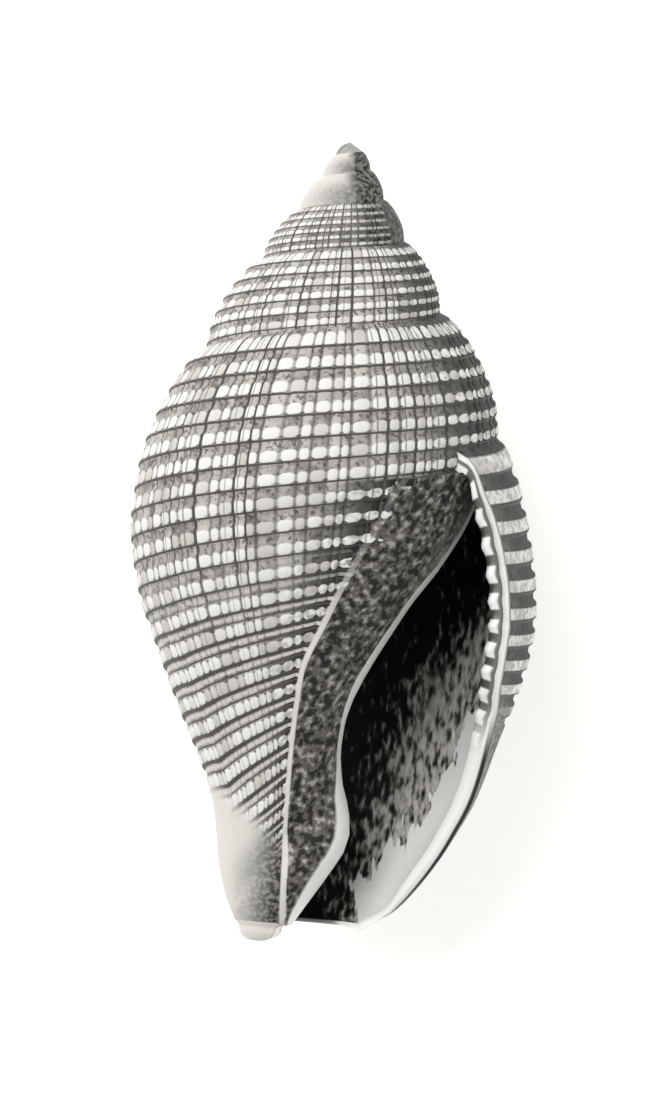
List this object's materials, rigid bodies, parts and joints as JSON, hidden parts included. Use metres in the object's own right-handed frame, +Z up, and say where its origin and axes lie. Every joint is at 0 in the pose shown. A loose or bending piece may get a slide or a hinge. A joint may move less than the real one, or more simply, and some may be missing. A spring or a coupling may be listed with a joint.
{
  "type": "cancellate sea snail shell",
  "caption": "Ribbed, pointed spiral sea shell, hollow behind its long oval opening, lying on its back with the opening up; a natural object to collect, display or lay on sand.",
  "frame": {"origin": "under the middle of the shell's box, on the plane that the small flat spot on its back rests on", "axes": "+Y runs from the base to the pointed tip along the coil axis, +Z is up through the opening, +X is towards the outer lip"},
  "size_m": [0.0204, 0.04, 0.0189],
  "materials": {
    "shell": "satin"
  },
  "bodies": {
    "root": {"shell": "shell"}
  },
  "joints": []
}
